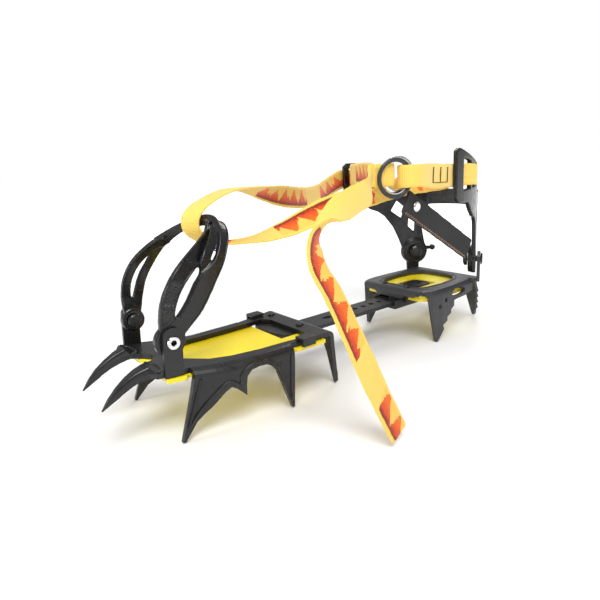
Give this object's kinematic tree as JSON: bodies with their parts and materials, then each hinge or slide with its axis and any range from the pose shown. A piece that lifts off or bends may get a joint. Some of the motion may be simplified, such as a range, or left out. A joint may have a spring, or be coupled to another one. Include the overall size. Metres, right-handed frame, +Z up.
{
  "type": "strap-on crampon",
  "caption": "Twelve-point strap-on mountaineering crampon with a toe bail, sliding length adjustment, moulded heel harness and a long webbing strap with ring buckle.",
  "frame": {"origin": "middle of the footprint on the ground plane that the tooth tips stand on, the loose strap tail left out", "axes": "+X toward the toe, +Y toward the outer side with the ring buckle, +Z up"},
  "size_m": [0.336, 0.1877, 0.15],
  "materials": {
    "front_frame": "satin",
    "front_antiball_plate": "satin",
    "bar_bracket": "satin",
    "bar_pivot_pin": "brushed",
    "bracket_rivet_inner": "brushed",
    "bracket_rivet_outer": "brushed",
    "edge_clip_inner": "satin",
    "edge_clip_outer": "satin",
    "toe_eyelet_inner": "polished",
    "toe_eyelet_outer": "polished",
    "toe_cap_inner": "satin",
    "toe_cap_outer": "satin",
    "toe_bail": "satin",
    "strap_bail_turn": "woven",
    "strap_lower_1": "woven",
    "strap_upper_1": "woven",
    "linking_bar": "satin",
    "strap_lower_2": "woven",
    "strap_upper_2": "woven",
    "heel_frame": "satin",
    "heel_antiball_plate": "satin",
    "bar_housing": "satin",
    "housing_screw_inner": "brushed",
    "housing_screw_outer": "brushed",
    "lever_rod": "brushed",
    "heel_rivet_inner": "satin",
    "heel_rivet_outer": "satin",
    "heel_cap_inner": "satin",
    "heel_cap_outer": "satin",
    "strap_lower_3": "woven",
    "strap_upper_3": "woven",
    "adjuster_lever": "satin",
    "lock_pin": "brushed",
    "lever_spring": "brushed",
    "heel_harness": "satin",
    "strap_lower_4": "woven",
    "strap_upper_4": "woven",
    "strap_inner_turn": "woven",
    "strap_instep": "woven",
    "strap_tail": "woven",
    "anchor_strap": "woven",
    "steel_ring": "polished",
    "black_ring": "satin",
    "pull_tab": "grained",
    "tab_rivet": "polished"
  },
  "bodies": {
    "front_section": {"front_frame": "front_frame", "front_antiball_plate": "front_antiball_plate", "bar_bracket": "bar_bracket", "bar_pivot_pin": "bar_pivot_pin", "bracket_rivet_inner": "bracket_rivet_inner", "bracket_rivet_outer": "bracket_rivet_outer", "edge_clip_inner": "edge_clip_inner", "edge_clip_outer": "edge_clip_outer", "toe_eyelet_inner": "toe_eyelet_inner", "toe_eyelet_outer": "toe_eyelet_outer", "toe_cap_inner": "toe_cap_inner", "toe_cap_outer": "toe_cap_outer"},
    "toe_bail": {"toe_bail": "toe_bail", "strap_bail_turn": "strap_bail_turn", "strap_lower_1": "strap_lower_1", "strap_upper_1": "strap_upper_1"},
    "linking_bar": {"linking_bar": "linking_bar", "strap_lower_2": "strap_lower_2", "strap_upper_2": "strap_upper_2"},
    "heel_section": {"heel_frame": "heel_frame", "heel_antiball_plate": "heel_antiball_plate", "bar_housing": "bar_housing", "housing_screw_inner": "housing_screw_inner", "housing_screw_outer": "housing_screw_outer", "lever_rod": "lever_rod", "heel_rivet_inner": "heel_rivet_inner", "heel_rivet_outer": "heel_rivet_outer", "heel_cap_inner": "heel_cap_inner", "heel_cap_outer": "heel_cap_outer", "strap_lower_3": "strap_lower_3", "strap_upper_3": "strap_upper_3"},
    "adjuster_lever": {"adjuster_lever": "adjuster_lever", "lock_pin": "lock_pin", "lever_spring": "lever_spring"},
    "heel_harness": {"heel_harness": "heel_harness", "strap_lower_4": "strap_lower_4", "strap_upper_4": "strap_upper_4", "strap_inner_turn": "strap_inner_turn", "strap_instep": "strap_instep", "strap_tail": "strap_tail", "anchor_strap": "anchor_strap", "steel_ring": "steel_ring", "black_ring": "black_ring"},
    "pull_tab": {"pull_tab": "pull_tab", "tab_rivet": "tab_rivet"}
  },
  "joints": [
    {"name": "bail_hinge", "type": "hinge", "parent": "front_section", "child": "toe_bail", "pos_m": [0.1291, -0.0009, 0.058], "axis": [0, 1, 0], "range_deg": [-20, 35], "deforming": ["strap_lower_1", "strap_upper_1"]},
    {"name": "bar_hinge", "type": "hinge", "parent": "front_section", "child": "linking_bar", "pos_m": [0.0306, -0.0009, 0.0283], "axis": [0, 1, 0], "range_deg": [-6, 6], "deforming": ["strap_lower_2", "strap_upper_2"]},
    {"name": "length_slide", "type": "slide", "parent": "linking_bar", "child": "heel_section", "axis": [1, 0, 0], "range_m": [-0.03, 0.02], "deforming": ["strap_lower_3", "strap_upper_3"]},
    {"name": "lever_hinge", "type": "hinge", "parent": "heel_section", "child": "adjuster_lever", "pos_m": [-0.0914, -0.0009, 0.0376], "axis": [0, 1, 0], "range_deg": [0, 20], "stiffness_Nm_per_rad": 0.05},
    {"name": "harness_hinge", "type": "hinge", "parent": "heel_section", "child": "heel_harness", "pos_m": [-0.1454, -0.0009, 0.0583], "axis": [0, 1, 0], "range_deg": [-8, 8], "deforming": ["strap_lower_4", "strap_upper_4"]},
    {"name": "tab_hinge", "type": "hinge", "parent": "heel_harness", "child": "pull_tab", "pos_m": [-0.0264, 0.0601, 0.1188], "axis": [0.5089, 0, -0.8608], "range_deg": [0, 25]}
  ]
}
